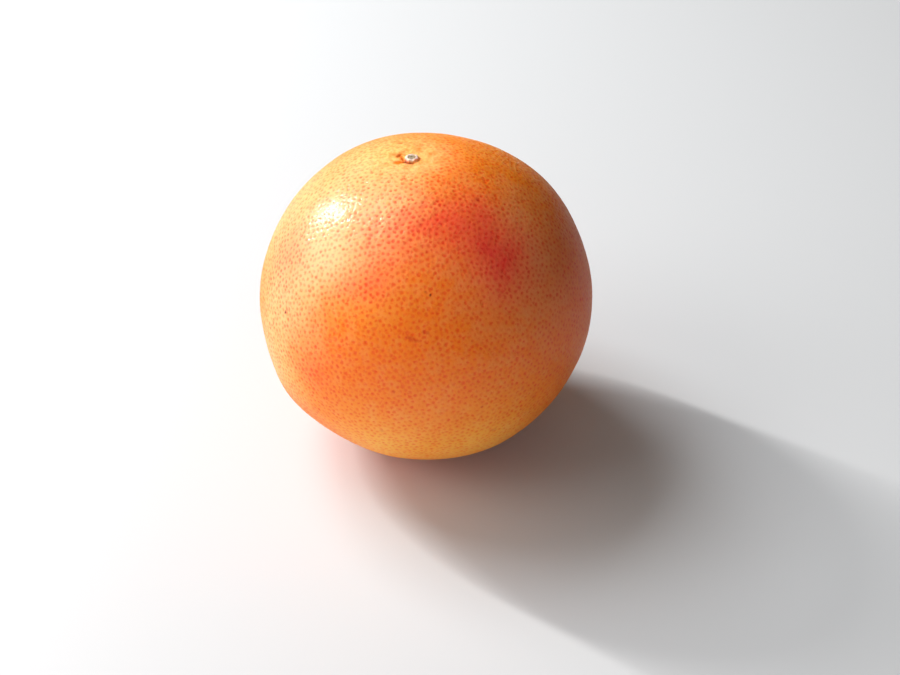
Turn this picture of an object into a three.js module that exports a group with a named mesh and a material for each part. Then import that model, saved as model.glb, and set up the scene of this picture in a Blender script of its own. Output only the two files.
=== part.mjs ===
// A whole grapefruit as it rests on a table, stem scar up. Millimetres, +Z up.
// The origin is the middle of the small flat foot that the fruit stands on.
// The fruit grew as one piece, so it is one closed solid: a slightly flattened body
// with gentle swells and flats, a shallow stem hollow with the corky scar that the
// stalk left in it, a blossom-end dimple underneath, and peel pitted by its oil glands.

import * as THREE from 'three';
import { ConvexHull } from 'three/addons/math/ConvexHull.js';

// ---- Body ----
const EQUATOR_RADIUS = 51;
const POLE_RADIUS = 49.9;
const STEM_LEAN_X = -5;          // degrees from upright, towards +X
const STEM_LEAN_Y = 2.5;         // degrees from upright, towards +Y
const FOOT_RADIUS = 8.5;         // the flat spot that the fruit rests on

// Gentle swells (height above 0) and flats (below 0) of the peel, as the fruit rests.
// Azimuth runs counter-clockwise from +X, elevation up from level, both in degrees;
// spread is the angle in which a swell falls off to about a third of its height.
const SWELLS = [
  { azimuth: 25, elevation: 38, height: 0.75, spread: 17 },
  { azimuth: 50, elevation: 50, height: 0.2, spread: 13 },
  { azimuth: 73, elevation: 58, height: -0.1, spread: 16 },
  { azimuth: 124, elevation: 55, height: 0.4, spread: 16 },
  { azimuth: 170, elevation: 18, height: -0.5, spread: 24 },
  { azimuth: 193, elevation: -8, height: -0.4, spread: 12 },
  { azimuth: 209, elevation: -24, height: 0.55, spread: 11 },
  { azimuth: 234, elevation: -40, height: -0.6, spread: 15 },
  { azimuth: 272, elevation: -47, height: -0.45, spread: 15 },
  { azimuth: 303, elevation: -41, height: 0.15, spread: 14 },
  { azimuth: 328, elevation: -27, height: -0.2, spread: 16 },
  { azimuth: 356, elevation: 3, height: 0.3, spread: 18 },
  { azimuth: 95, elevation: -6, height: 0.5, spread: 28 },
  { azimuth: 60, elevation: -34, height: -0.45, spread: 24 },
  { azimuth: 135, elevation: -30, height: 0.25, spread: 22 },
];

// ---- Stem end: distances from the stem axis along the peel ----
const HOLLOW_DEPTH = 1.3;
const HOLLOW_RADIUS = 8.5;
const FURROW_COUNT = 7;
const FURROW_DEPTH = 0.22;
const FURROW_RADIUS = 7;         // where the furrows are deepest
const FURROW_SPREAD = 4;
const FURROW_BEARING = 0.6;      // radians from the fruit's own +X to the first ridge
const SCAR_FOOT_RADIUS = 2.15;   // where the wall of the corky button ends
const SCAR_RADIUS = 1.65;        // outer edge of the button's crown, a ring
const SCAR_HEIGHT = 0.75;
const PLUG_RADIUS = 1.05;        // the sunken fibrous plug inside the ring
const CROWN_RADIUS = 1.3;        // inner edge of the ring's crown
const PLUG_DEPTH = 0.16;
const MOAT_RADIUS = 2.5;         // the thin groove round the button
const MOAT_DEPTH = 0.22;
const MOAT_WIDTH = 0.45;
const STEM_RINGS = [             // rings of mesh points that carry the scar's form
  { radius: 0.6, points: 8 },
  { radius: PLUG_RADIUS, points: 16 },
  { radius: CROWN_RADIUS, points: 20 },
  { radius: SCAR_RADIUS, points: 24 },
  { radius: 1.9, points: 24 },
  { radius: SCAR_FOOT_RADIUS, points: 24 },
  { radius: MOAT_RADIUS, points: 24 },
  { radius: 3.2, points: 20 },
  { radius: 4.4, points: 20 },
  { radius: 6, points: 22 },
  { radius: 7.8, points: 24 },
];

// ---- Blossom end ----
const DIMPLE_RADIUS = 2.9;
const DIMPLE_FLOOR_RADIUS = 0.9;
const DIMPLE_DEPTH = 1.7;
const NUB_RADIUS = 1.3;          // the dot that the flower's style left
const NUB_HEIGHT = 0.4;
const BLOSSOM_RINGS = [
  { radius: 0.7, points: 8 },
  { radius: NUB_RADIUS, points: 12 },
  { radius: 2, points: 14 },
  { radius: 2.7, points: 16 },
];

// ---- Foot ----
const FOOT_CORNERS = 36;
const FOOT_INNER_SHARE = 0.9;    // a second ring of points, just inside the foot's edge
const TABLE_TOLERANCE = 1e-6;    // a point this near the table lies on it
const EDGE_HALVINGS = 40;        // steps in the search for the foot's edge

// ---- Oil glands: pits in the peel, larger than life ----
const PIT_COUNT = 1780;
const PIT_DEPTH = 0.32;
const PIT_DEPTH_RANGE = 0.3;     // share by which single pits are deeper or shallower
const PIT_JITTER = 0.34;         // of the spacing
const PIT_EVENING_ROUNDS = 3;
const PIT_SEED = 20;
const STEM_SMOOTH = 8;           // no pits nearer to the stem axis than this
const STEM_FADE = 10;            // and full depth this much further out
const FOOT_FADE = 5;             // full depth this far outside the foot
const SEAM = 1.5;                // room between the rings of points and the pits

const RESTING_UP = new THREE.Vector3(0, 0, 1);
const stemEnd = new THREE.Vector3(
  Math.tan(THREE.MathUtils.degToRad(STEM_LEAN_X)),
  Math.tan(THREE.MathUtils.degToRad(STEM_LEAN_Y)),
  1,
).normalize();
const lean = new THREE.Quaternion().setFromUnitVectors(RESTING_UP, stemEnd);
const straighten = lean.clone().invert();

function seededRandom(seed) {
  let state = seed;
  return () => {
    state = (state + 0x6d2b79f5) | 0;
    let mixed = Math.imul(state ^ (state >>> 15), 1 | state);
    mixed = (mixed + Math.imul(mixed ^ (mixed >>> 7), 61 | mixed)) ^ mixed;
    return ((mixed ^ (mixed >>> 14)) >>> 0) / 2 ** 32;
  };
}

function directionAt(azimuthDegrees, elevationDegrees) {
  const azimuth = THREE.MathUtils.degToRad(azimuthDegrees);
  const elevation = THREE.MathUtils.degToRad(elevationDegrees);
  return new THREE.Vector3(
    Math.cos(azimuth) * Math.cos(elevation),
    Math.sin(azimuth) * Math.cos(elevation),
    Math.sin(elevation),
  );
}

const swells = SWELLS.map((swell) => ({
  towards: directionAt(swell.azimuth, swell.elevation),
  height: swell.height,
  spread: THREE.MathUtils.degToRad(swell.spread),
}));

// A smooth bump: 1 at 0, about a third at 1, nearly nothing from 2 on.
function bump(share) {
  return Math.exp(-share * share);
}

// 0 before the first value, 1 after the second, and a smooth step between.
function rise(value, from, to) {
  return THREE.MathUtils.smoothstep(value, from, to);
}

// ---- The peel's form: distance from the fruit's centre in a given direction ----

function oblateRadius(direction) {
  const own = direction.clone().applyQuaternion(straighten);
  const across = (own.x ** 2 + own.y ** 2) / EQUATOR_RADIUS ** 2;
  const along = own.z ** 2 / POLE_RADIUS ** 2;
  return 1 / Math.sqrt(across + along);
}

function swellHeight(direction) {
  let height = 0;
  for (const swell of swells) {
    height += swell.height * bump(direction.angleTo(swell.towards) / swell.spread);
  }
  return height;
}

function stemRelief(direction) {
  const distance = direction.angleTo(stemEnd) * POLE_RADIUS;
  const own = direction.clone().applyQuaternion(straighten);
  const bearing = Math.atan2(own.y, own.x);
  const hollow = HOLLOW_DEPTH * bump(distance / HOLLOW_RADIUS);
  const furrow = (1 - Math.cos(FURROW_COUNT * (bearing - FURROW_BEARING))) / 2;
  const furrows = FURROW_DEPTH * furrow * bump((distance - FURROW_RADIUS) / FURROW_SPREAD);
  const crown = 1 - rise(distance, SCAR_RADIUS, SCAR_FOOT_RADIUS);
  const plug = 1 - rise(distance, PLUG_RADIUS, CROWN_RADIUS);
  const moat = bump((distance - MOAT_RADIUS) / MOAT_WIDTH);
  return SCAR_HEIGHT * crown - PLUG_DEPTH * plug - MOAT_DEPTH * moat - hollow - furrows;
}

function blossomRelief(direction) {
  const distance = (Math.PI - direction.angleTo(stemEnd)) * POLE_RADIUS;
  const dimple = 1 - rise(distance, DIMPLE_FLOOR_RADIUS, DIMPLE_RADIUS);
  const nub = 1 - rise(distance, 0, NUB_RADIUS);
  return NUB_HEIGHT * nub - DIMPLE_DEPTH * dimple;
}

function bodyRadius(direction) {
  return oblateRadius(direction) + swellHeight(direction) + stemRelief(direction);
}

// The centre's height over the table, so that the flat foot comes out FOOT_RADIUS wide.
const straightDown = new THREE.Vector3(0, 0, -1);
const centreHeight = Math.sqrt(bodyRadius(straightDown) ** 2 - FOOT_RADIUS ** 2);

function reachesTable(direction, radius) {
  return -direction.z * radius >= centreHeight;
}

// How far outside the foot's edge a direction lies, along the peel; inside it is below 0.
function distanceFromFoot(direction) {
  return direction.angleTo(straightDown) * centreHeight - FOOT_RADIUS;
}

function pitShare(direction) {
  const fromStem = direction.angleTo(stemEnd) * POLE_RADIUS;
  const stemShare = rise(fromStem, STEM_SMOOTH, STEM_SMOOTH + STEM_FADE);
  return stemShare * rise(distanceFromFoot(direction), 0, FOOT_FADE);
}

// The point of the peel in a direction, pressed flat where it would pass the table.
function peelPoint(direction, pitDepth) {
  let radius = bodyRadius(direction);
  if (reachesTable(direction, radius)) {
    radius = centreHeight / -direction.z;
    const dimpled = bodyRadius(direction) + blossomRelief(direction);
    radius = Math.min(radius, dimpled);
  }
  radius -= pitDepth * pitShare(direction);
  const point = direction.clone().multiplyScalar(radius);
  point.z += centreHeight;
  if (Math.abs(point.z) < TABLE_TOLERANCE) {
    point.z = 0;
  }
  return point;
}

// ---- Directions of the mesh points ----

// Rings of directions round an axis, and the axis itself.
function ringsRound(axis, rings) {
  const turn = new THREE.Quaternion().setFromUnitVectors(RESTING_UP, axis);
  const directions = [axis.clone()];
  rings.forEach((ring, index) => {
    for (let k = 0; k < ring.points; k += 1) {
      const azimuth = (360 * (k + 0.5 * (index % 2))) / ring.points;
      const elevation = 90 - THREE.MathUtils.radToDeg(ring.radius / POLE_RADIUS);
      directions.push(directionAt(azimuth, elevation).applyQuaternion(turn));
    }
  });
  return directions;
}

// The direction at which the peel meets the table, found by halving the interval.
function footEdge(azimuth) {
  let inside = -90;
  let outside = -45;
  for (let step = 0; step < EDGE_HALVINGS; step += 1) {
    const middle = (inside + outside) / 2;
    const direction = directionAt(azimuth, middle);
    if (reachesTable(direction, bodyRadius(direction))) {
      inside = middle;
    } else {
      outside = middle;
    }
  }
  return directionAt(azimuth, inside);
}

function footDirections() {
  const directions = [];
  for (let k = 0; k < FOOT_CORNERS; k += 1) {
    const edge = footEdge((360 * k) / FOOT_CORNERS);
    directions.push(edge);
    if (k % 2 === 0) {
      directions.push(straightDown.clone().lerp(edge, FOOT_INNER_SHARE).normalize());
    }
  }
  return directions;
}

// The triangles that join directions on the unit sphere, each as three of the directions.
function triangulate(directions) {
  const hull = new ConvexHull().setFromPoints(directions);
  return hull.faces.map((face) => {
    const first = face.edge;
    return [first, first.next, first.next.next].map((edge) => edge.head().point);
  });
}

// Evenly spread directions on a spiral, each moved at random by a share of the spacing.
function scatteredDirections(count, jitter, random) {
  const goldenTurn = Math.PI * (3 - Math.sqrt(5));
  const spacing = Math.sqrt((4 * Math.PI) / count);
  const directions = [];
  for (let k = 0; k < count; k += 1) {
    const height = 1 - (2 * k + 1) / count;
    const across = Math.sqrt(1 - height * height);
    const turn = k * goldenTurn;
    const direction = new THREE.Vector3(across * Math.cos(turn), across * Math.sin(turn), height);
    direction.x += (random() * 2 - 1) * jitter * spacing;
    direction.y += (random() * 2 - 1) * jitter * spacing;
    direction.z += (random() * 2 - 1) * jitter * spacing;
    directions.push(direction.normalize());
  }
  return directions;
}

// Moves every direction to the middle of its neighbours, which evens out their spacing.
function evened(directions) {
  const sums = new Map(directions.map((direction) => [direction, new THREE.Vector3()]));
  for (const corners of triangulate(directions)) {
    corners.forEach((corner, k) => {
      sums.get(corner).add(corners[(k + 1) % 3]).add(corners[(k + 2) % 3]);
    });
  }
  return directions.map((direction) => sums.get(direction).normalize());
}

function clearOfRings(direction) {
  const stemReach = STEM_RINGS[STEM_RINGS.length - 1].radius + SEAM;
  const fromStem = direction.angleTo(stemEnd) * POLE_RADIUS;
  return fromStem > stemReach && distanceFromFoot(direction) > SEAM;
}

function middleOf(corners) {
  return corners[0].clone().add(corners[1]).add(corners[2]).normalize();
}

// ---- The fruit ----

function grapefruitGeometry() {
  const random = seededRandom(PIT_SEED);
  let pits = scatteredDirections(PIT_COUNT, PIT_JITTER, random);
  for (let round = 0; round < PIT_EVENING_ROUNDS; round += 1) {
    pits = evened(pits);
  }
  const land = triangulate(pits).map(middleOf).filter(clearOfRings);
  pits = pits.filter(clearOfRings);

  const smooth = [
    ...ringsRound(stemEnd, STEM_RINGS),
    ...ringsRound(stemEnd.clone().negate(), BLOSSOM_RINGS),
    ...footDirections(),
    ...land,
  ];
  const points = new Map(smooth.map((direction) => [direction, peelPoint(direction, 0)]));
  for (const pit of pits) {
    const depth = PIT_DEPTH * (1 + PIT_DEPTH_RANGE * (random() * 2 - 1));
    points.set(pit, peelPoint(pit, depth));
  }

  const positions = [];
  for (const corners of triangulate([...points.keys()])) {
    for (const corner of corners) {
      positions.push(...points.get(corner).toArray());
    }
  }
  const geometry = new THREE.BufferGeometry();
  geometry.setAttribute('position', new THREE.Float32BufferAttribute(positions, 3));
  geometry.computeVertexNormals();
  return geometry;
}

const peel = new THREE.MeshStandardMaterial({ color: '#f0983f', roughness: 0.42, metalness: 0 });

const grapefruit = new THREE.Mesh(grapefruitGeometry(), peel);
grapefruit.name = 'grapefruit';

const part = new THREE.Group();
part.add(grapefruit);

export default part;
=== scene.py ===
import math

import bmesh
import bpy
import numpy as np
from mathutils import Matrix, Vector, noise


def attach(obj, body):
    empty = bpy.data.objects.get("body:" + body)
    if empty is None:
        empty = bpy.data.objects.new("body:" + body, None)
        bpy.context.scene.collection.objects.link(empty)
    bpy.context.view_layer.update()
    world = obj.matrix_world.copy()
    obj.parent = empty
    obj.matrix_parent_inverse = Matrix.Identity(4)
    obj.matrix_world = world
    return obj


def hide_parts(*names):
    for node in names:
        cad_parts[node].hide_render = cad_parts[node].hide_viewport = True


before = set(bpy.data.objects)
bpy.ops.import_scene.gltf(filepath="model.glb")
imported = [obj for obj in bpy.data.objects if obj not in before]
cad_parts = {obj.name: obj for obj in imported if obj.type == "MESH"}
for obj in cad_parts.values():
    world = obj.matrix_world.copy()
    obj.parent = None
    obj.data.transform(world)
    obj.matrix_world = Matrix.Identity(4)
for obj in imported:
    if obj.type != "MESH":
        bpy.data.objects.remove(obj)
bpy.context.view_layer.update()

# The finished look of a whole grapefruit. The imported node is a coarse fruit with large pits.
# The piece made here repeats the body's form from the same named sizes, as a finer mesh
# whose pits are as close as on real peel. Sizes are in millimetres unless a name says
# otherwise, directions are (azimuth, elevation) in degrees as the fruit rests, azimuth
# counter-clockwise from +X, and everything is turned to metres as the mesh is made.

MM = 0.001

# ---- Body, as in the part's source ----
EQUATOR_RADIUS = 51
POLE_RADIUS = 49.9
STEM_LEAN_X = -5
STEM_LEAN_Y = 2.5
FOOT_RADIUS = 8.5
SWELLS = [                 # azimuth, elevation, height, spread in degrees
    (25, 38, 0.75, 17),
    (50, 50, 0.2, 13),
    (73, 58, -0.1, 16),
    (124, 55, 0.4, 16),
    (170, 18, -0.5, 24),
    (193, -8, -0.4, 12),
    (209, -24, 0.55, 11),
    (234, -40, -0.6, 15),
    (272, -47, -0.45, 15),
    (303, -41, 0.15, 14),
    (328, -27, -0.2, 16),
    (356, 3, 0.3, 18),
    (95, -6, 0.5, 28),
    (60, -34, -0.45, 24),
    (135, -30, 0.25, 22),
]
HOLLOW_DEPTH = 1.3
HOLLOW_RADIUS = 8.5
FURROW_COUNT = 7
FURROW_DEPTH = 0.22
FURROW_RADIUS = 7
FURROW_SPREAD = 4
FURROW_BEARING = 0.6
SCAR_FOOT_RADIUS = 2.15
SCAR_RADIUS = 1.65
SCAR_HEIGHT = 0.75
PLUG_RADIUS = 1.05
CROWN_RADIUS = 1.3
PLUG_DEPTH = 0.16
MOAT_RADIUS = 2.5
MOAT_DEPTH = 0.22
MOAT_WIDTH = 0.45
DIMPLE_RADIUS = 2.9
DIMPLE_FLOOR_RADIUS = 0.9
DIMPLE_DEPTH = 1.7
NUB_RADIUS = 1.3
NUB_HEIGHT = 0.4

# ---- Fine peel ----
SEED = 7
PIT_COUNT = 11400
PIT_JITTER = 0.36          # of the spacing
PIT_EVENING_ROUNDS = 3
PIT_RADIUS = 0.9
PIT_DEPTH = 0.13
PIT_DEPTH_RANGE = 0.45     # share by which single pits are deeper or shallower
SPLIT = 2                  # each triangle between pits is split into SPLIT x SPLIT
STEM_SMOOTH = 4.5          # no pits nearer to the stem axis than this
STEM_FADE = 6
FOOT_FADE = 4
SEAM = 0.9                 # room between the rings of points and the pits
INSET = 0.05               # holds the fine peel inside the solid's bounds
UNDULATIONS = [            # wavelength, height
    (9, 0.08),
    (3.6, 0.03),
]
WRINKLE_ALONG = (0.72, 0.6, 0.35)       # the way that the faint wrinkles run
WRINKLE_WAVELENGTH = 2.4
WRINKLE_STRETCH = 1.6
WRINKLE_SEED = 5.0
WRINKLE_PITS = 20          # deeper pits, for each millimetre of the wrinkles' height
WRINKLES = [               # azimuth, elevation, spread in degrees, height
    (-116, 61, 9, 0.17),
    (-124, 72, 8, 0.13),
    (-101, 69, 11, 0.12),
    (-152, 70, 9, 0.06),
    (-70, 73, 9, 0.06),
    (-92, 59, 9, 0.06),
    (170, 62, 12, 0.05),
    (40, 50, 24, 0.04),
    (150, 0, 28, 0.03),
]
STEM_RINGS = (0.25, 6.3, 0.25, 44)      # first radius, last radius, step, most points on a ring
BLOSSOM_RINGS = (0.35, 3.1, 0.4, 22)
FOOT_CORNERS = 72
FOOT_SEARCH = (-89.9, -60.0)            # elevations between which the peel leaves the floor
FOOT_HALVINGS = 40
FOOT_INNER_RING = 0.1      # a second ring inside the foot, drawn in by this share
FEWEST_ON_RING = 6         # points on the smallest rings round the stem and the blossom end

# ---- Stem end in detail: places on the stem plane, x to the right and y away ----
CRUMPLE_WAVELENGTH = 1.7
CRUMPLE_HEIGHT = 0.16
CRUMPLE_RADIUS = 7
BARK_WAVELENGTH = 0.55     # uneven cork of the button
BARK_HEIGHT = 0.16
BARK_EDGES = (-0.2, 0.3)   # where the cork ends, from the foot of the button
CREASE_WANDER = 0.35       # how far the creases stray from straight lines
CREASE_WANDER_WAVELENGTH = 1.1
CREASE_WANDER_SEEDS = (3.3, 8.1)
CREASE_ORANGE_WIDTH = 1.8  # the orange of a crease, as a share of its width
NOTCHES = [                # gaps in the cork ring: bearing and width in degrees, depth
    (-84, 16, 0.3),
    (-30, 11, 0.3),
    (62, 14, 0.22),
    (160, 9, 0.15),
]
CREASES = [                # two ends, width, depth, and how dark (painted shade, deepest at the button's lower left) and how orange it is
    ((-4.0, 2.0), (-3.8, 2.8), 0.55, 0.4, 0.85, 0.8),
    ((-3.5, 1.7), (-2.7, 0.5), 0.4, 0.25, 0.4, 0.9),
    ((-2.7, 0.5), (-2.1, -1.3), 0.4, 0.3, 0.3, 0.9),
    ((-2.1, -1.3), (-1.0, -2.5), 0.45, 0.4, 0.85, 0.9),
    ((-1.0, -2.5), (0.5, -2.9), 0.4, 0.35, 1.0, 0.7),
    ((-4.4, -2.0), (-2.2, -1.5), 0.55, 0.2, 0.06, 0.95),
    ((-6.0, 3.1), (-4.9, 3.0), 0.3, 0.12, 0.4, 0.2),
    ((-4.6, 10.0), (-3.4, 10.0), 0.4, 0.08, 0.4, 0.2),
    ((0.4, -4.1), (0.9, -4.3), 0.35, 0.12, 0.4, 0.1),
    ((2.0, 6.0), (2.1, 5.8), 0.5, 0.08, 0.12, 0.7),
    ((5.7, 2.4), (5.9, 2.3), 0.5, 0.08, 0.12, 0.6),
    ((1.0, 7.3), (1.4, 4.4), 0.6, 0.06, 0.0, 0.4),
    ((2.6, -0.9), (4.6, -2.6), 0.4, 0.12, 0.0, 0.3),
    ((-0.4, 3.3), (-1.6, 5.6), 0.5, 0.1, 0.0, 0.25),
]


def direction_at(azimuth, elevation):
    """The unit vector, or the array of them, that points that way."""
    a, e = np.radians(azimuth), np.radians(elevation)
    return np.stack([np.cos(a) * np.cos(e), np.sin(a) * np.cos(e), np.sin(e) + 0 * a], -1)


def unit(vectors):
    return vectors / np.linalg.norm(vectors, axis=-1, keepdims=True)


def angle_to(directions, axis):
    return np.arccos(np.clip(directions @ axis, -1, 1))


def bump(share):
    """A smooth bump: 1 at 0, about a third at 1, nearly nothing from 2 on."""
    return np.exp(-share * share)


def rise(value, low, high):
    """0 below low, 1 above high and a smooth step between."""
    t = np.clip((value - low) / (high - low), 0, 1)
    return t * t * (3 - 2 * t)


STEM_END = unit(np.array([
    math.tan(math.radians(STEM_LEAN_X)),
    math.tan(math.radians(STEM_LEAN_Y)),
    1.0,
]))
DOWN = np.array([0.0, 0.0, -1.0])
# Directions @ LEAN are seen from the fruit's own leaned axis.
LEAN = np.array(Vector((0, 0, 1)).rotation_difference(Vector(STEM_END)).to_matrix())


# ---- The peel's form: distance from the fruit's centre in each direction ----

def stem_distance(directions):
    return angle_to(directions, STEM_END) * POLE_RADIUS


def blossom_distance(directions):
    return angle_to(directions, -STEM_END) * POLE_RADIUS


def stem_plane(directions):
    """Places round the stem axis, in millimetres along the peel."""
    own = directions @ LEAN
    across = np.maximum(np.linalg.norm(own[:, :2], axis=1, keepdims=True), 1e-12)
    return own[:, :2] / across * stem_distance(directions)[:, None]


def body_radius(directions):
    own = directions @ LEAN
    across = (own[:, 0] ** 2 + own[:, 1] ** 2) / EQUATOR_RADIUS**2
    radius = 1 / np.sqrt(across + own[:, 2] ** 2 / POLE_RADIUS**2)
    for azimuth, elevation, height, spread in SWELLS:
        away = angle_to(directions, direction_at(azimuth, elevation))
        radius += height * bump(away / math.radians(spread))
    return radius + stem_relief(directions)


def stem_relief(directions):
    distance = stem_distance(directions)
    own = directions @ LEAN
    bearing = np.arctan2(own[:, 1], own[:, 0])
    hollow = HOLLOW_DEPTH * bump(distance / HOLLOW_RADIUS)
    furrow = (1 - np.cos(FURROW_COUNT * (bearing - FURROW_BEARING))) / 2
    furrows = FURROW_DEPTH * furrow * bump((distance - FURROW_RADIUS) / FURROW_SPREAD)
    crown = 1 - rise(distance, SCAR_RADIUS, MOAT_RADIUS)
    plug = 1 - rise(distance, PLUG_RADIUS, CROWN_RADIUS)
    moat = bump((distance - MOAT_RADIUS) / MOAT_WIDTH)
    return SCAR_HEIGHT * crown - PLUG_DEPTH * plug - MOAT_DEPTH * moat - hollow - furrows


def noise_at(places, wavelength, seed=0.0):
    """Smooth noise from -1 to 1 at places in millimetres."""
    return np.array([noise.noise(Vector(place) / wavelength + Vector((seed, 0, 0))) for place in places])


def segment_distance(places, start, end):
    """How far places on the stem plane are from a line between two of them."""
    start, along = np.array(start), np.subtract(end, start)
    share = np.clip((places - start) @ along / (along @ along), 0, 1)
    return np.linalg.norm(places - start - share[:, None] * along, axis=1)


def crease_fields(directions):
    """Depth, darkness and orange of the creases and marks round the scar; the darkness is painted shade,
    deepest at the button's lower left.
    """
    places = stem_plane(directions)
    solid = directions * EQUATOR_RADIUS
    wander = [noise_at(solid, CREASE_WANDER_WAVELENGTH, seed) for seed in CREASE_WANDER_SEEDS]
    places = places + CREASE_WANDER * np.stack(wander, -1)
    depth, dark, orange = (np.zeros(len(directions)) for _ in range(3))
    for start, end, width, drop, darkness, tint in CREASES:
        away = segment_distance(places, start, end)
        share = bump(away / width)
        depth = np.maximum(depth, drop * share)
        dark = np.maximum(dark, darkness * share)
        orange = np.maximum(orange, tint * bump(away / (CREASE_ORANGE_WIDTH * width)))
    return depth, dark, orange


def stem_detail(directions):
    """Fine relief of the scar and of the crumpled peel round it, in millimetres."""
    distance = stem_distance(directions)
    near = distance < 2 * CRUMPLE_RADIUS
    close, own = directions[near], distance[near]
    places = close * EQUATOR_RADIUS
    button = 1 - rise(own, SCAR_RADIUS, SCAR_FOOT_RADIUS)
    crumple = noise_at(places, CRUMPLE_WAVELENGTH) * bump(own / CRUMPLE_RADIUS) * (1 - button)
    cork_edge = rise(own - SCAR_FOOT_RADIUS, *BARK_EDGES)
    bark = noise_at(places, BARK_WAVELENGTH) * (1 - cork_edge)
    plane = stem_plane(close)
    bearing = np.degrees(np.arctan2(plane[:, 1], plane[:, 0]))
    gaps = np.zeros(len(close))
    for middle, width, depth in NOTCHES:
        off = (bearing - middle + 180) % 360 - 180
        gaps += depth * bump(off / width)
    gaps *= rise(own, PLUG_RADIUS, CROWN_RADIUS) * button
    relief = np.zeros(len(directions))
    relief[near] = CRUMPLE_HEIGHT * crumple + BARK_HEIGHT * bark - gaps - crease_fields(close)[0]
    return relief


def blossom_relief(directions):
    distance = blossom_distance(directions)
    dimple = 1 - rise(distance, DIMPLE_FLOOR_RADIUS, DIMPLE_RADIUS)
    return NUB_HEIGHT * (1 - rise(distance, 0, NUB_RADIUS)) - DIMPLE_DEPTH * dimple


CENTRE_HEIGHT = math.sqrt(body_radius(DOWN[None])[0] ** 2 - FOOT_RADIUS**2)


def foot_distance(directions):
    return angle_to(directions, DOWN) * CENTRE_HEIGHT - FOOT_RADIUS


def wrinkle_height(directions):
    """How high the faint wrinkles stand, in millimetres."""
    height = np.zeros(len(directions))
    for azimuth, elevation, spread, most in WRINKLES:
        away = angle_to(directions, direction_at(azimuth, elevation))
        height = np.maximum(height, most * bump(away / math.radians(spread)))
    return height


def undulation(directions):
    """Low, wide unevenness of the peel, in millimetres."""
    height = np.zeros(len(directions))
    for wavelength, size in UNDULATIONS:
        height += size * noise_at(directions * EQUATOR_RADIUS, wavelength)
    along = unit(np.array(WRINKLE_ALONG))
    share = (1 - 1 / WRINKLE_STRETCH) * (directions @ along)
    stretched = (directions - share[:, None] * along) * EQUATOR_RADIUS
    height += wrinkle_height(directions) * noise_at(stretched, WRINKLE_WAVELENGTH, WRINKLE_SEED)
    return height * rise(foot_distance(directions), 0, FOOT_FADE) + stem_detail(directions)


def pit_share(directions):
    """How much of a pit is left: none at the stem and the foot."""
    share = rise(stem_distance(directions), STEM_SMOOTH, STEM_SMOOTH + STEM_FADE)
    return share * rise(foot_distance(directions), 0, FOOT_FADE)


def pit_deepening(directions):
    return pit_share(directions) * (1 + WRINKLE_PITS * wrinkle_height(directions))


def peel_points(directions, relief):
    """Points of the peel, with relief added and pressed flat on the floor, in millimetres."""
    body = body_radius(directions)
    radius = body + relief - INSET
    table = np.where(directions[:, 2] < 0, CENTRE_HEIGHT / np.maximum(-directions[:, 2], 1e-9), np.inf)
    dimpled = body + blossom_relief(directions)
    radius = np.where(body >= table, np.minimum(table, dimpled), np.minimum(radius, table))
    points = directions * radius[:, None]
    points[:, 2] += CENTRE_HEIGHT
    points[np.abs(points[:, 2]) < 1e-6, 2] = 0
    return points


# ---- The mesh ----

def triangulate(directions):
    """The triangles that join directions on the unit sphere, faces pointing out."""
    hull = bmesh.new()
    for direction in directions:
        hull.verts.new(direction)
    hull.verts.index_update()
    bmesh.ops.convex_hull(hull, input=hull.verts)
    triangles = np.array([[corner.index for corner in face.verts] for face in hull.faces])
    hull.free()
    a, b, c = (directions[triangles[:, k]] for k in range(3))
    inward = np.einsum("ij,ij->i", np.cross(b - a, c - a), a + b + c) < 0
    triangles[inward] = triangles[inward][:, ::-1]
    return triangles


def scattered(count, jitter, draws):
    """Evenly spread directions on a spiral, each moved at random by a share of the spacing."""
    k = np.arange(count)
    height = 1 - (2 * k + 1) / count
    turn = np.degrees(k * math.pi * (3 - math.sqrt(5)))
    directions = direction_at(turn, np.degrees(np.arcsin(height)))
    spacing = math.sqrt(4 * math.pi / count)
    return unit(directions + draws.uniform(-jitter, jitter, (count, 3)) * spacing)


def evened(directions):
    """Every direction moved to the middle of its neighbours."""
    triangles = triangulate(directions)
    sums = np.zeros_like(directions)
    for k in range(3):
        np.add.at(sums, triangles[:, k], directions[triangles[:, (k + 1) % 3]])
        np.add.at(sums, triangles[:, k], directions[triangles[:, (k + 2) % 3]])
    alone = ~sums.any(axis=1)
    sums[alone] = directions[alone]
    return unit(sums)


def rings_round(axis, first, last, step, count):
    """Rings of directions round an axis, and the axis itself."""
    turn = np.array(Vector((0, 0, 1)).rotation_difference(Vector(axis)).to_matrix())
    rings = [axis[None]]
    for index, radius in enumerate(np.arange(first, last, step)):
        points = max(FEWEST_ON_RING, min(count, round(2 * math.pi * radius / step)))
        azimuths = 360 * (np.arange(points) + 0.5 * (index % 2)) / points
        elevation = 90 - math.degrees(radius / POLE_RADIUS)
        rings.append(direction_at(azimuths, np.full(points, elevation)) @ turn.T)
    return np.concatenate(rings)


def foot_ring():
    """The directions at which the peel meets the floor, found by halving the interval."""
    azimuths = 360 * np.arange(FOOT_CORNERS) / FOOT_CORNERS
    inside, outside = (np.full(FOOT_CORNERS, elevation) for elevation in FOOT_SEARCH)
    for _ in range(FOOT_HALVINGS):
        middle = (inside + outside) / 2
        directions = direction_at(azimuths, middle)
        touches = -directions[:, 2] * body_radius(directions) >= CENTRE_HEIGHT
        inside, outside = np.where(touches, middle, inside), np.where(touches, outside, middle)
    return direction_at(azimuths, inside)


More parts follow.
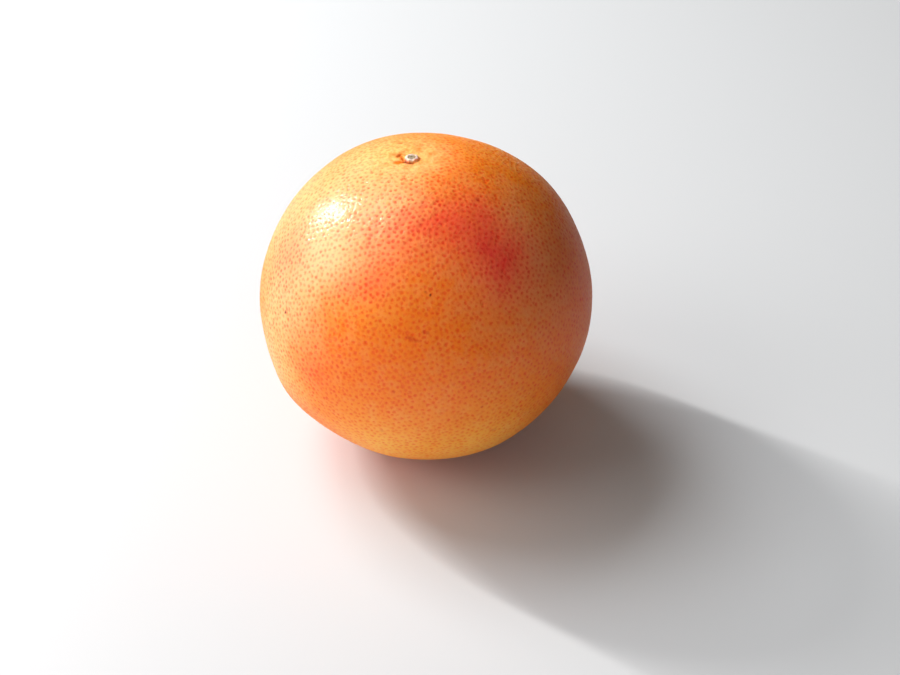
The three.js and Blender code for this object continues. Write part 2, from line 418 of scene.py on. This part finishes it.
def split(triangles, directions):
    """Each triangle split into SPLIT x SPLIT: vertex recipes (three corners and their weights,
    corner -1 where unused), the fine triangles, and the coarse triangle each came from."""
    steps = [(i, j, SPLIT - i - j) for i in range(SPLIT + 1) for j in range(SPLIT + 1 - i)]
    place = {step: index for index, step in enumerate(steps)}
    small = []
    for i, j, k in steps:
        if k >= 1:
            small.append([place[i, j, k], place[i + 1, j, k - 1], place[i, j + 1, k - 1]])
        if k >= 2:
            small.append([place[i + 1, j, k - 1], place[i + 1, j + 1, k - 2], place[i, j + 1, k - 1]])
    weights = np.broadcast_to(np.array(steps), (len(triangles), len(steps), 3))
    corners = np.broadcast_to(triangles[:, None, :], weights.shape)
    corners = np.where(weights > 0, corners, -1)
    order = np.argsort(corners, axis=2)
    corners = np.take_along_axis(corners, order, 2)
    weights = np.take_along_axis(weights, order, 2)
    rows = np.concatenate([corners, weights], axis=2).reshape(-1, 6)
    recipes, index = np.unique(rows, axis=0, return_inverse=True)
    index = index.reshape(len(triangles), len(steps))
    fine = index[:, np.array(small)].reshape(-1, 3)
    return recipes, fine, np.repeat(np.arange(len(triangles)), len(small))


def make_fruit():
    draws = np.random.default_rng(SEED)
    pits = scattered(PIT_COUNT, PIT_JITTER, draws)
    for _ in range(PIT_EVENING_ROUNDS):
        pits = evened(pits)
    clear = (stem_distance(pits) > STEM_RINGS[1] + SEAM) & (foot_distance(pits) > SEAM)
    pits = pits[clear]
    ring = foot_ring()
    inner = unit(DOWN * FOOT_INNER_RING + ring * (1 - FOOT_INNER_RING))
    smooth = np.concatenate([
        rings_round(STEM_END, *STEM_RINGS),
        rings_round(-STEM_END, *BLOSSOM_RINGS),
        ring,
        inner[::2],
    ])
    base = np.concatenate([pits, smooth])
    triangles = triangulate(base)
    recipes, fine, source = split(triangles, base)
    corners, weights = recipes[:, :3], recipes[:, 3:]
    directions = unit(np.einsum("ij,ijk->ik", weights, base[corners]))

    # Size of every pit as a draw between 0 and 1, and -1 for a point that is no pit.
    sizes = np.full(len(base), -1.0)
    sizes[: len(pits)] = draws.random(len(pits))
    depth = np.where(sizes < 0, 0, PIT_DEPTH * (1 + PIT_DEPTH_RANGE * (2 * sizes - 1)))
    relief = np.zeros(len(directions))
    for k in range(3):
        away = np.linalg.norm(directions - base[corners[:, k]], axis=1) * EQUATOR_RADIUS
        near = np.clip(1 - (away / PIT_RADIUS) ** 2, 0, 1) ** 2
        relief -= np.where(corners[:, k] >= 0, depth[corners[:, k]] * near, 0)
    relief = relief * pit_deepening(directions) + undulation(directions)
    points = peel_points(directions, relief) * MM

    mesh = bpy.data.meshes.new("grapefruit_peel")
    mesh.from_pydata(points, [], fine)
    mesh.shade_smooth()
    fruit = bpy.data.objects.new("grapefruit_peel", mesh)
    bpy.context.scene.collection.objects.link(fruit)

    base_points = peel_points(base, undulation(base) - depth * pit_deepening(base)) * MM
    for k, name in enumerate(("pit_a", "pit_b", "pit_c")):
        store(mesh, name, base_points[triangles[source, k]], "FACE")
    store(mesh, "pit_sizes", sizes[triangles[source]], "FACE")
    return fruit, directions


def store(mesh, name, values, domain="POINT"):
    """Keeps a number or a vector for each vertex or face, under a name that a shader reads."""
    kind = "FLOAT" if values.ndim == 1 else "FLOAT_VECTOR"
    field = "value" if values.ndim == 1 else "vector"
    attribute = mesh.attributes.new(name, kind, domain)
    attribute.data.foreach_set(field, np.ascontiguousarray(values, dtype=np.float32).ravel())


# ---- Colour fields: where the peel is gold, where it blushes ----

BLUSH = [                  # azimuth, elevation, strength, spread in degrees
    (-110, 40, 0.5, 6.5),
    (-109, 56, 0.42, 12),
    (-90, 62, 0.5, 8.5),
    (-75, 59, 0.6, 8),
    (-50, 62, 0.62, 9.5),
    (-58, 51, 0.64, 9.5),
    (-52, 43, 0.82, 12.2),
    (-120, 36, 0.36, 7.2),
    (-156, 34, 0.45, 13),
    (-129, 2, 0.34, 8),
    (-16, 20, 0.36, 25),
    (100, -12, 0.4, 24),
    (45, 12, 0.3, 18),
]
GOLD = [                   # the same
    (-115, 38, 0.65, 12.5),
    (-140, -6, 0.58, 14),
    (-68, -27, 0.87, 23),
    (-105, -26, 0.98, 18.5),
    (75, 52, 0.42, 37),
    (20, -35, 0.4, 25),
    (130, -40, 0.5, 26),
]
CREAM_AND_SHEEN = [                  # the same; the peel's own pale cream, and painted sheen on its lit left side as well
    (-143, 41, 0.95, 16),
    (-121, 61, 0.76, 14.5),
    (182, 39, 0.5, 24),
    (173, 71, 0.62, 17),
    (-146, 17, 0.46, 14),
    (150, 86, 0.35, 12),
    (60, -5, 0.4, 24),
    (-41, 41, 0.42, 20.5),
    (-154, -8, 0.52, 15.5),
]
WARP_WAVELENGTH = 14       # of what makes the edges of the patches uneven
WARP_SIZE = 2.5
STEM_BARE_MIDDLE = (-4.0, 2.0)
STEM_BARE_RADIUS = 11      # the peel is paler and its dots fainter within this of that place
STEM_BARE_STRETCH = 3      # this times as far from the stem axis, too, it ends
CORK_WAVER = 0.12          # how far the edges of the cork stray from circles
CORK_WAVER_WAVELENGTH = 0.9
RING_EDGES = (1.85, 2.1)   # the cork is full within the first radius, gone at the second
PLUG_EDGES = (1.15, 1.45)
BLOSSOM_SCAR_EDGES = (0.6, 2.2)
BLOSSOM_SCAR_DARKNESS = 0.6


def warped(directions):
    """Directions moved about a little, so that patches of colour get uneven edges."""
    noise.seed_set(SEED)   # or noise_vector takes its offsets from the clock
    places = directions * (EQUATOR_RADIUS / WARP_WAVELENGTH)
    shift = np.array([noise.noise_vector(Vector(place)) for place in places])
    return unit(directions + shift * (WARP_SIZE / EQUATOR_RADIUS))


def patches(directions, blobs):
    """Soft patches joined into one field from 0 to 1."""
    bare = np.ones(len(directions))
    for azimuth, elevation, strength, spread in blobs:
        away = angle_to(directions, direction_at(azimuth, elevation))
        bare *= 1 - strength * bump(away / math.radians(spread))
    return 1 - bare


def paint_fields(mesh, directions):
    """Stores on the mesh where the peel takes each colour, for the material to read."""
    moved = warped(directions)
    store(mesh, "blush", patches(moved, BLUSH))
    store(mesh, "gold", patches(moved, GOLD))
    # cream: the peel's pale tone, and painted sheen on its lit left side
    store(mesh, "cream", patches(moved, CREAM_AND_SHEEN))
    store(mesh, "pitted", pit_share(directions))
    store(mesh, "wrinkled", wrinkle_height(directions))
    waver = noise_at(directions * EQUATOR_RADIUS, CORK_WAVER_WAVELENGTH)
    distance = stem_distance(directions) + CORK_WAVER * waver
    bare = np.linalg.norm(stem_plane(directions) - np.array(STEM_BARE_MIDDLE), axis=1)
    bare = np.maximum(bare, distance / STEM_BARE_STRETCH)
    store(mesh, "stem", bump(bare / STEM_BARE_RADIUS))
    store(mesh, "ring", 1 - rise(distance, *RING_EDGES))
    store(mesh, "plug", 1 - rise(distance, *PLUG_EDGES))
    _, dark, orange = crease_fields(directions)
    scar = BLOSSOM_SCAR_DARKNESS * (1 - rise(blossom_distance(directions), *BLOSSOM_SCAR_EDGES))
    # dark: painted shade in the creases round the button, and the blossom end's own brown scar
    store(mesh, "dark", np.maximum(dark, scar))
    store(mesh, "orange", orange)


# ---- Shader helpers ----

class Shader:
    """Adds nodes to a material, each input either a value or another node's output."""

    def __init__(self, name):
        self.material = bpy.data.materials.new(name)
        self.material.use_nodes = True
        self.tree = self.material.node_tree
        self.surface = self.tree.nodes["Principled BSDF"]

    def plug(self, socket, value):
        if isinstance(value, bpy.types.NodeSocket):
            self.tree.links.new(value, socket)
        else:
            socket.default_value = value

    def node(self, kind, inputs, output=0, **settings):
        node = self.tree.nodes.new(kind)
        for name, value in settings.items():
            setattr(node, name, value)
        for key, value in inputs.items():
            self.plug(node.inputs[key], value)
        return node.outputs[output]

    def field(self, name, output="Fac"):
        return self.node("ShaderNodeAttribute", {}, output, attribute_name=name)

    def math(self, operation, a, b):
        return self.node("ShaderNodeMath", {0: a, 1: b}, operation=operation)

    def span(self, value, low, high, to_low, to_high):
        """A smooth step between two values, as the input goes from low to high."""
        inputs = {0: value, 1: low, 2: high, 3: to_low, 4: to_high}
        return self.node("ShaderNodeMapRange", inputs, interpolation_type="SMOOTHSTEP")

    def mix(self, share, a, b, blend="MIX"):
        inputs = {0: share, 6: a, 7: b}
        settings = {"data_type": "RGBA", "blend_type": blend, "clamp_factor": True}
        return self.node("ShaderNodeMix", inputs, 2, **settings)

    def noise(self, place, wavelength, detail, low, high):
        """Noise spread over 0 to 1, its waves that many millimetres long."""
        inputs = {"Vector": place, "Scale": 1 / (wavelength * MM), "Detail": detail}
        return self.span(self.node("ShaderNodeTexNoise", inputs), low, high, 0.0, 1.0)

    def cells(self, place, size):
        """Distance from the nearest of scattered points, one to a cell of that size."""
        inputs = {"Vector": place, "Scale": 1 / (size * MM)}
        return self.node("ShaderNodeTexVoronoi", inputs, "Distance")

    def scale(self, value, factor):
        return self.math("MULTIPLY", value, factor)

    def set_surface(self, values):
        """Gives the surface's sockets, by name, their values or nodes."""
        for name, value in values.items():
            self.plug(self.surface.inputs[name], value)


def colour(red, green, blue):
    """A display colour, 0 to 255, as the shader's linear colour."""
    def linear(value):
        value /= 255
        return value / 12.92 if value <= 0.04045 else ((value + 0.055) / 1.055) ** 2.4
    return (linear(red), linear(green), linear(blue), 1.0)


# ---- Colours: tints are multiplied into the colour below them ----

PEEL_ORANGE = colour(246, 121, 22)
PEEL_GOLD = colour(250, 176, 70)
# pale cream: the peel's own, and painted sheen where the cream lies on the lit left side
PEEL_CREAM_AND_SHEEN = colour(252, 198, 144)
PEEL_BLUSH = colour(250, 84, 52)
PEEL_CRIMSON = colour(240, 62, 50)
BLOTCH_YELLOW = colour(250, 200, 112)
BLOTCH_ORANGE = colour(248, 138, 44)
DOT_TINT = (0.935, 0.44, 0.33, 1.0)
DOT_TINT_CREAM = (0.89, 0.45, 0.45, 1.0)
DOT_TINT_BLUSH = (0.9, 0.36, 0.4, 1.0)
SPOT_TINT = (0.72, 0.32, 0.36, 1.0)
FLECK_TINT = (0.2, 0.08, 0.1, 1.0)
CORK = colour(238, 218, 198)
CORK_STAIN = colour(206, 158, 136)
FIBRES = colour(176, 158, 130)
FIBRES_DARK = colour(96, 74, 54)
# painted shade in the creases round the button, and the brown of the blossom end's scar
SHADE_AND_SCAR_BROWN = colour(128, 46, 10)
MARK_ORANGE = colour(236, 112, 8)
SPOTS = [                  # azimuth, elevation, radius, strength, tint
    (-86.7, 37.7, 0.4, 0.9, FLECK_TINT),
    (-88.7, 38.6, 0.4, 0.2, FLECK_TINT),
    (-144.5, 17.0, 0.5, 1.0, FLECK_TINT),
    (-144.0, 18.2, 0.5, 0.6, FLECK_TINT),
    (-44.4, 65.9, 0.9, 0.8, SPOT_TINT),
    (-94.6, 24.2, 0.8, 0.55, SPOT_TINT),
    (-93.2, 23.7, 1.0, 0.6, SPOT_TINT),
    (-91.6, 23.2, 0.7, 0.55, SPOT_TINT),
    (-89.1, 26.2, 0.6, 0.5, SPOT_TINT),
    (-87.8, 25.8, 0.7, 0.55, SPOT_TINT),
    (-98.5, 5.0, 0.6, 0.5, SPOT_TINT),
    (-70.0, -2.9, 0.6, 0.5, SPOT_TINT),
    (-103, -14, 0.8, 0.35, SPOT_TINT),
    (-64, -17, 1.0, 0.4, SPOT_TINT),
]
SPOT_EDGES = (0.3, 1.3)    # of its radius: a spot is full within the first, gone at the second

# ---- Settings of the peel's material ----
# Lengths are in millimetres. A noise is (wavelength, detail, the noise that counts as 0, the
# noise that counts as 1). A span is (low, high, the value up to low, the value from high on).

WIDE_NOISE = (6.0, 2.0, 0.3, 0.7)
MIDDLING_NOISE = (2.6, 2.0, 0.3, 0.7)
WIDE_MOTTLE = (0.0, 1.0, -0.03, 0.03)             # added to the gold and to the cream
MIDDLING_MOTTLE = (0.2, 0.8, -0.025, 0.025)
STEM_GOLD = (0.0, 1.0, 0.35, 1.1)                 # uneven gold round the stem
STEM_CREAM = 0.15
BLUSH_PATCHINESS = (0.0, 1.0, 0.9, 1.1)
CRIMSON_IN_BLUSH = (0.5, 0.95, 0.0, 1.0)
BLOTCH_NOISE = (1.3, 3.0, 0.35, 0.65)
BLOTCH_SHARE = 0.7

RIDGE_NOISE = (2.6, 1.0, 0.36, 0.66)
RIDGE_PAINTED_SHINE = 3.0       # painted shine on the wrinkles' ridges, for each millimetre of a ridge's height

DOT_SHAKE = (1.0, 0.85)    # wavelength and size of what makes the dots less round
DOT_RADII = (0.684, 0.99)  # of the dots of the smallest and of the largest pits
DOT_EDGE = (0.05, 1.0, 1.0, 0.0)                  # by distance, as a share of the dot's radius
DOTS_BY_SIZE = (-0.9, 0.6, 0.0, 1.0)              # a point that is no pit has a size of -1
DOTS_IN_WRINKLES = (0.0, 0.1, 1.0, 1.2)           # by the wrinkles' height
DOTS_AT_STEM = (0.0, 1.0, 1.0, 0.3)
DOTS_IN_CREAM = (0.2, 1.0, 1.0, 0.85)
DOTS_IN_BLUSH = (0.0, 0.6, 0.0, 1.0)              # how far their tint turns to the blush's
DOT_NOISE = (2.4, 2.0, 0.3, 0.7)
DOT_UNEVENNESS = (0.2, 0.8, 0.74, 1.1)
TINY_GLAND_SPACING = 1.3
TINY_GLANDS = (0.08, 0.42, 0.46, 0.0)             # by distance, as a share of the spacing
# pale specks: painted glints on the land between the glands
PALE_SPECK_NOISE = (0.9, 2.0, 0.3, 0.7)
PALE_SPECKS = (0.45, 1.0, 0.0, 0.14)
PALE_SPECKS_IN_BLUSH = (0.0, 0.8, 1.0, 0.35)

STAIN_NOISE = (1.1, 3.0, 0.4, 0.65)
STAIN_SHARE = 0.65
SPECK_NOISE = (0.45, 3.0, 0.55, 0.7)
SPECK_SHARE = 0.55
FIBRE_NOISE = (0.42, 3.0, 0.38, 0.62)
FIBRE_TIP_NOISE = (0.5, 2.0, 0.55, 0.7)
FIBRE_TIP_SHARE = 0.7

GRAIN_NOISE = (0.7, 3.0, 0.3, 0.7)
GRAIN_HEIGHT = 0.03
DOT_DEPTH = 0.045
ROUGHNESS = (0.0, 1.0, 0.46, 0.8)                 # from the peel to the cork
COAT_WEIGHT = (0.0, 1.0, 0.095, 0.0)
PEEL_FINISH = {
    "Specular IOR Level": 0.06,
    "Coat Roughness": 0.125,
    "Coat IOR": 3.0,
    "Subsurface Weight": 0.3,
    "Subsurface Radius": (1.0, 0.35, 0.1),
    "Subsurface Scale": 1.5 * MM,
}


# ---- Peel material ----

def mottle(shader, place, middling):
    """Soft unevenness for the gold and the cream."""
    wide = shader.span(shader.noise(place, *WIDE_NOISE), *WIDE_MOTTLE)
    return shader.math("ADD", wide, shader.span(middling, *MIDDLING_MOTTLE))


def land(shader, middling, gold, cream, blush):
    """The peel between the glands: orange, gold and cream, the cream on the lit left side partly painted
    sheen, with the blush laid over them.
    """
    base = shader.mix(gold, PEEL_ORANGE, PEEL_GOLD)
    base = shader.mix(cream, base, PEEL_CREAM_AND_SHEEN)
    red = shader.mix(shader.span(blush, *CRIMSON_IN_BLUSH), PEEL_BLUSH, PEEL_CRIMSON)
    share = shader.math("MULTIPLY", blush, shader.span(middling, *BLUSH_PATCHINESS))
    return shader.mix(share, base, red)


def blotched(shader, place, stem, base):
    """Adds the yellow and orange blotches round the stem."""
    blotch = shader.mix(shader.noise(place, *BLOTCH_NOISE), BLOTCH_ORANGE, BLOTCH_YELLOW)
    return shader.mix(shader.scale(stem, BLOTCH_SHARE), base, blotch)


def wrinkles(shader, place):
    """Soft ridges that run along the wrinkles, 0 to 1."""
    along = tuple(unit(np.array(WRINKLE_ALONG)))
    reach = shader.node("ShaderNodeVectorMath", {0: place, 1: along}, "Value", operation="DOT_PRODUCT")
    reach = shader.scale(reach, 1 - 1 / WRINKLE_STRETCH)
    part = shader.node("ShaderNodeVectorMath", {0: along, "Scale": reach}, operation="SCALE")
    stretched = shader.node("ShaderNodeVectorMath", {0: place, 1: part}, operation="SUBTRACT")
    return shader.noise(stretched, *RIDGE_NOISE)


def shaken(shader, place, wavelength, size):
    """The place moved about a little, which makes round things less round."""
    inputs = {"Vector": place, "Scale": 1 / (wavelength * MM), "Detail": 1.0}
    wander = shader.node("ShaderNodeTexNoise", inputs, "Color")
    middle = shader.node("ShaderNodeVectorMath", {0: wander, 1: (0.5, 0.5, 0.5)}, operation="SUBTRACT")
    inputs = {0: middle, 1: (size * MM,) * 3, 2: place}
    return shader.node("ShaderNodeVectorMath", inputs, operation="MULTIPLY_ADD")


def dots(shader, place):
    """1 at the middle of an oil gland, 0 on the land between."""
    sizes = shader.node("ShaderNodeSeparateXYZ", {0: shader.field("pit_sizes", "Vector")}).node
    smallest, largest = (radius * MM for radius in DOT_RADII)
    best = 0.0
    for k, name in enumerate(("pit_a", "pit_b", "pit_c")):
        inputs = {0: place, 1: shader.field(name, "Vector")}
        away = shader.node("ShaderNodeVectorMath", inputs, "Value", operation="DISTANCE")
        size = sizes.outputs[k]
        radius = shader.span(size, 0.0, 1.0, smallest, largest)
        spot = shader.span(shader.math("DIVIDE", away, radius), *DOT_EDGE)
        strength = shader.span(size, *DOTS_BY_SIZE)
        best = shader.math("MAXIMUM", shader.math("MULTIPLY", spot, strength), best)
    return shader.math("MULTIPLY", best, shader.field("pitted"))


def dotted(shader, place, loose, dot, stem, cream, blush, base):
    """Tints the glands, darker and redder than the land, the more so in the blush."""
    faint = shader.math("MULTIPLY", shader.span(stem, *DOTS_AT_STEM), shader.span(cream, *DOTS_IN_CREAM))
    uneven = shader.span(shader.noise(place, *DOT_NOISE), *DOT_UNEVENNESS)
    share = shader.math("MULTIPLY", shader.math("MULTIPLY", dot, faint), uneven)
    tint = shader.mix(cream, DOT_TINT, DOT_TINT_CREAM)
    tint = shader.mix(shader.span(blush, *DOTS_IN_BLUSH), tint, DOT_TINT_BLUSH)
    base = shader.mix(share, base, tint, "MULTIPLY")
    tiny = shader.span(shader.cells(loose, TINY_GLAND_SPACING), *TINY_GLANDS)
    return shader.mix(tiny, base, tint, "MULTIPLY")


def specked(shader, place, blush, pale_shine, base):
    """Adds faint pale specks, painted glints of the land, fainter in the blush."""
    specks = shader.span(shader.noise(place, *PALE_SPECK_NOISE), *PALE_SPECKS)
    share = shader.math("MULTIPLY", specks, shader.span(blush, *PALE_SPECKS_IN_BLUSH))
    return shader.mix(share, base, pale_shine)


def spotted(shader, place, base):
    """Adds the few brown blemishes."""
    places = direction_at(*np.array([spot[:2] for spot in SPOTS]).T)
    centres = peel_points(places, np.zeros(len(places))) * MM
    full, gone = SPOT_EDGES
    for centre, (_, _, radius, strength, tint) in zip(centres, SPOTS):
        inputs = {0: place, 1: tuple(centre)}
        away = shader.node("ShaderNodeVectorMath", inputs, "Value", operation="DISTANCE")
        share = shader.span(away, full * radius * MM, gone * radius * MM, strength, 0.0)
        base = shader.mix(share, base, tint, "MULTIPLY")
    return base


def button_colour(shader, place):
    """The cork ring, cream and stained, round the grey-brown fibres of the plug."""
    stain = shader.noise(place, *STAIN_NOISE)
    ring = shader.mix(shader.scale(stain, STAIN_SHARE), CORK, CORK_STAIN)
    speck = shader.noise(place, *SPECK_NOISE)
    ring = shader.mix(shader.scale(speck, SPECK_SHARE), ring, FIBRES)
    plug = shader.mix(shader.noise(place, *FIBRE_NOISE), FIBRES_DARK, FIBRES)
    tips = shader.noise(place, *FIBRE_TIP_NOISE)
    plug = shader.mix(shader.scale(tips, FIBRE_TIP_SHARE), plug, CORK)
    return shader.mix(shader.field("plug"), ring, plug)


def scarred(shader, place, base):
    """Adds the creases round the scar, the cork button and the dark marks: painted shade in the creases
    at the button's lower left, and the blossom end's brown scar.
    """
    base = shader.mix(shader.field("orange"), base, MARK_ORANGE)
    base = shader.mix(shader.field("ring"), base, button_colour(shader, place))
    # painted shade in the creases, and the blossom end's scar
    return shader.mix(shader.field("dark"), base, SHADE_AND_SCAR_BROWN)


def peel_colour(shader, place, loose, dot, ridges):
    """The whole peel's colour, laid on from the land up."""
    stem, blush = shader.field("stem"), shader.field("blush")
    middling = shader.noise(place, *MIDDLING_NOISE)
    mottling = mottle(shader, place, middling)
    gold = shader.math("ADD", shader.field("gold"), mottling)
    gold = shader.math("MAXIMUM", gold, shader.math("MULTIPLY", stem, shader.span(middling, *STEM_GOLD)))
    # the cream field holds painted sheen on the lit left side as well as the peel's pale tone
    cream = shader.math("ADD", shader.field("cream"), mottling)
    cream = shader.math("MAXIMUM", cream, shader.scale(stem, STEM_CREAM))
    # the pale colour of the painted shine on the ridges and of the pale specks
    pale_shine = shader.mix(cream, PEEL_GOLD, PEEL_CREAM_AND_SHEEN)
    base = land(shader, middling, gold, cream, blush)
    base = blotched(shader, place, stem, base)
    # painted shine: the land on the wrinkles' ridges laid paler, where light catches them
    base = shader.mix(shader.scale(ridges, RIDGE_PAINTED_SHINE), base, pale_shine)
    base = dotted(shader, place, loose, dot, stem, cream, blush, base)
    base = specked(shader, place, blush, pale_shine, base)
    base = spotted(shader, loose, base)
    return scarred(shader, place, base)


def peel_relief(shader, place, dot, ridges):
    """The grain of the peel, the glands and the ridges, as a normal."""
    height = shader.scale(shader.noise(place, *GRAIN_NOISE), GRAIN_HEIGHT * MM)
    height = shader.math("SUBTRACT", height, shader.scale(dot, DOT_DEPTH * MM))
    height = shader.math("ADD", height, shader.scale(ridges, MM))
    return shader.node("ShaderNodeBump", {"Height": height, "Strength": 1.0, "Distance": 1.0})


def peel_material():
    shader = Shader("citrus_peel")
    place = shader.node("ShaderNodeTexCoord", {}, "Object")
    loose = shaken(shader, place, *DOT_SHAKE)
    wrinkled, cork = shader.field("wrinkled"), shader.field("ring")
    dot = shader.math("MULTIPLY", dots(shader, loose), shader.span(wrinkled, *DOTS_IN_WRINKLES))
    ridges = shader.math("MULTIPLY", wrinkles(shader, place), wrinkled)
    normal = peel_relief(shader, place, dot, ridges)
    shader.set_surface({
        "Base Color": peel_colour(shader, place, loose, dot, ridges),
        "Normal": normal,
        "Coat Normal": normal,
        "Roughness": shader.span(cork, *ROUGHNESS),
        "Coat Weight": shader.span(cork, *COAT_WEIGHT),
        **PEEL_FINISH,
    })
    return shader.material


# ---- The fruit ----

fruit, directions = make_fruit()
paint_fields(fruit.data, directions)
fruit.data.materials.append(peel_material())
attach(fruit, "root")
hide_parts("grapefruit")


# ---- Floor, light and camera, in metres ----

FLOOR_SIZE = 8.0
FLOOR_COLOUR = (0.66, 0.66, 0.66, 1.0)
FLOOR_ROUGHNESS = 0.5
WORLD_COLOUR = (1.0, 0.95, 0.88, 1.0)
WORLD_TOWARDS = (-140, 12)  # the side from which the room is brighter
WORLD_DARK = 0.015
WORLD_BRIGHT = 0.345
WORLD_SHADE = -0.8         # cosine of the angle from there past which the room is dark
AIM = Vector((0, 0, 0.05))              # what the lights point at
LIGHTS = [                 # name, towards, distance, width and height, power, tint, shine
    ("window", (148, 30), 1.2, (0.035, 0.42), 13, (1.0, 1.0, 1.0), True),
    ("sky", (148, 54), 1.3, (0.7, 0.55), 12.9, (0.9, 0.95, 1.0), False),
    ("bounce", (-165, 34), 0.9, (0.6, 0.5), 2.9, (1.0, 1.0, 1.0), False),
    ("front", (-118, 6), 1.2, (1.2, 0.35), 4.1, (1.0, 1.0, 1.0), False),
]

CAMERA_PLACE = Vector((0.0079, -0.3741, 0.2826 + CENTRE_HEIGHT * MM))
CAMERA_DOWN = 38.57        # degrees below level
CAMERA_ROLL = 1.2
CAMERA_LENS = 60.9         # millimetres on a sensor 36 mm wide


def make_floor():
    """The plain pale floor, which catches the shadow and lights the fruit from below."""
    half = FLOOR_SIZE / 2
    mesh = bpy.data.meshes.new("floor")
    corners = [(-half, -half, 0), (half, -half, 0), (half, half, 0), (-half, half, 0)]
    mesh.from_pydata(corners, [], [(0, 1, 2, 3)])
    floor = bpy.data.objects.new("floor", mesh)
    bpy.context.scene.collection.objects.link(floor)
    shader = Shader("pale_floor")
    shader.set_surface({"Base Color": FLOOR_COLOUR, "Roughness": FLOOR_ROUGHNESS})
    mesh.materials.append(shader.material)


def make_light(name, towards, distance, size, power, tint, shine):
    """An area light on that side of the fruit, seen in the peel's shine or not."""
    data = bpy.data.lights.new(name, "AREA")
    data.shape = "RECTANGLE"
    data.size, data.size_y = size
    data.energy = power
    data.color = tint
    light = bpy.data.objects.new(name, data)
    light.location = AIM + Vector(direction_at(*towards)) * distance
    light.rotation_euler = (AIM - light.location).to_track_quat("-Z", "Y").to_euler()
    light.visible_glossy = shine
    bpy.context.scene.collection.objects.link(light)


def make_world():
    """A room that is brighter on one side."""
    world = bpy.data.worlds.new("studio")
    world.use_nodes = True
    tree = world.node_tree
    background = tree.nodes["Background"]
    background.inputs["Color"].default_value = WORLD_COLOUR
    place = tree.nodes.new("ShaderNodeTexCoord")
    side = tree.nodes.new("ShaderNodeVectorMath")
    side.operation = "DOT_PRODUCT"
    side.inputs[1].default_value = tuple(direction_at(*WORLD_TOWARDS))
    strength = tree.nodes.new("ShaderNodeMapRange")
    strength.interpolation_type = "SMOOTHSTEP"
    strength.inputs["From Min"].default_value = WORLD_SHADE
    strength.inputs["To Min"].default_value = WORLD_DARK
    strength.inputs["To Max"].default_value = WORLD_BRIGHT
    tree.links.new(place.outputs["Generated"], side.inputs[0])
    tree.links.new(side.outputs["Value"], strength.inputs["Value"])
    tree.links.new(strength.outputs["Result"], background.inputs["Strength"])
    bpy.context.scene.world = world


def make_camera():
    data = bpy.data.cameras.new("camera")
    data.lens = CAMERA_LENS
    camera = bpy.data.objects.new("camera", data)
    turn = Matrix.Rotation(math.radians(90 - CAMERA_DOWN), 4, "X")
    roll = Matrix.Rotation(math.radians(CAMERA_ROLL), 4, "Z")
    camera.matrix_world = Matrix.Translation(CAMERA_PLACE) @ turn @ roll
    bpy.context.scene.collection.objects.link(camera)
    bpy.context.scene.camera = camera


make_floor()
for light in LIGHTS:
    make_light(*light)
make_world()
make_camera()
bpy.context.scene.view_settings.view_transform = "Standard"
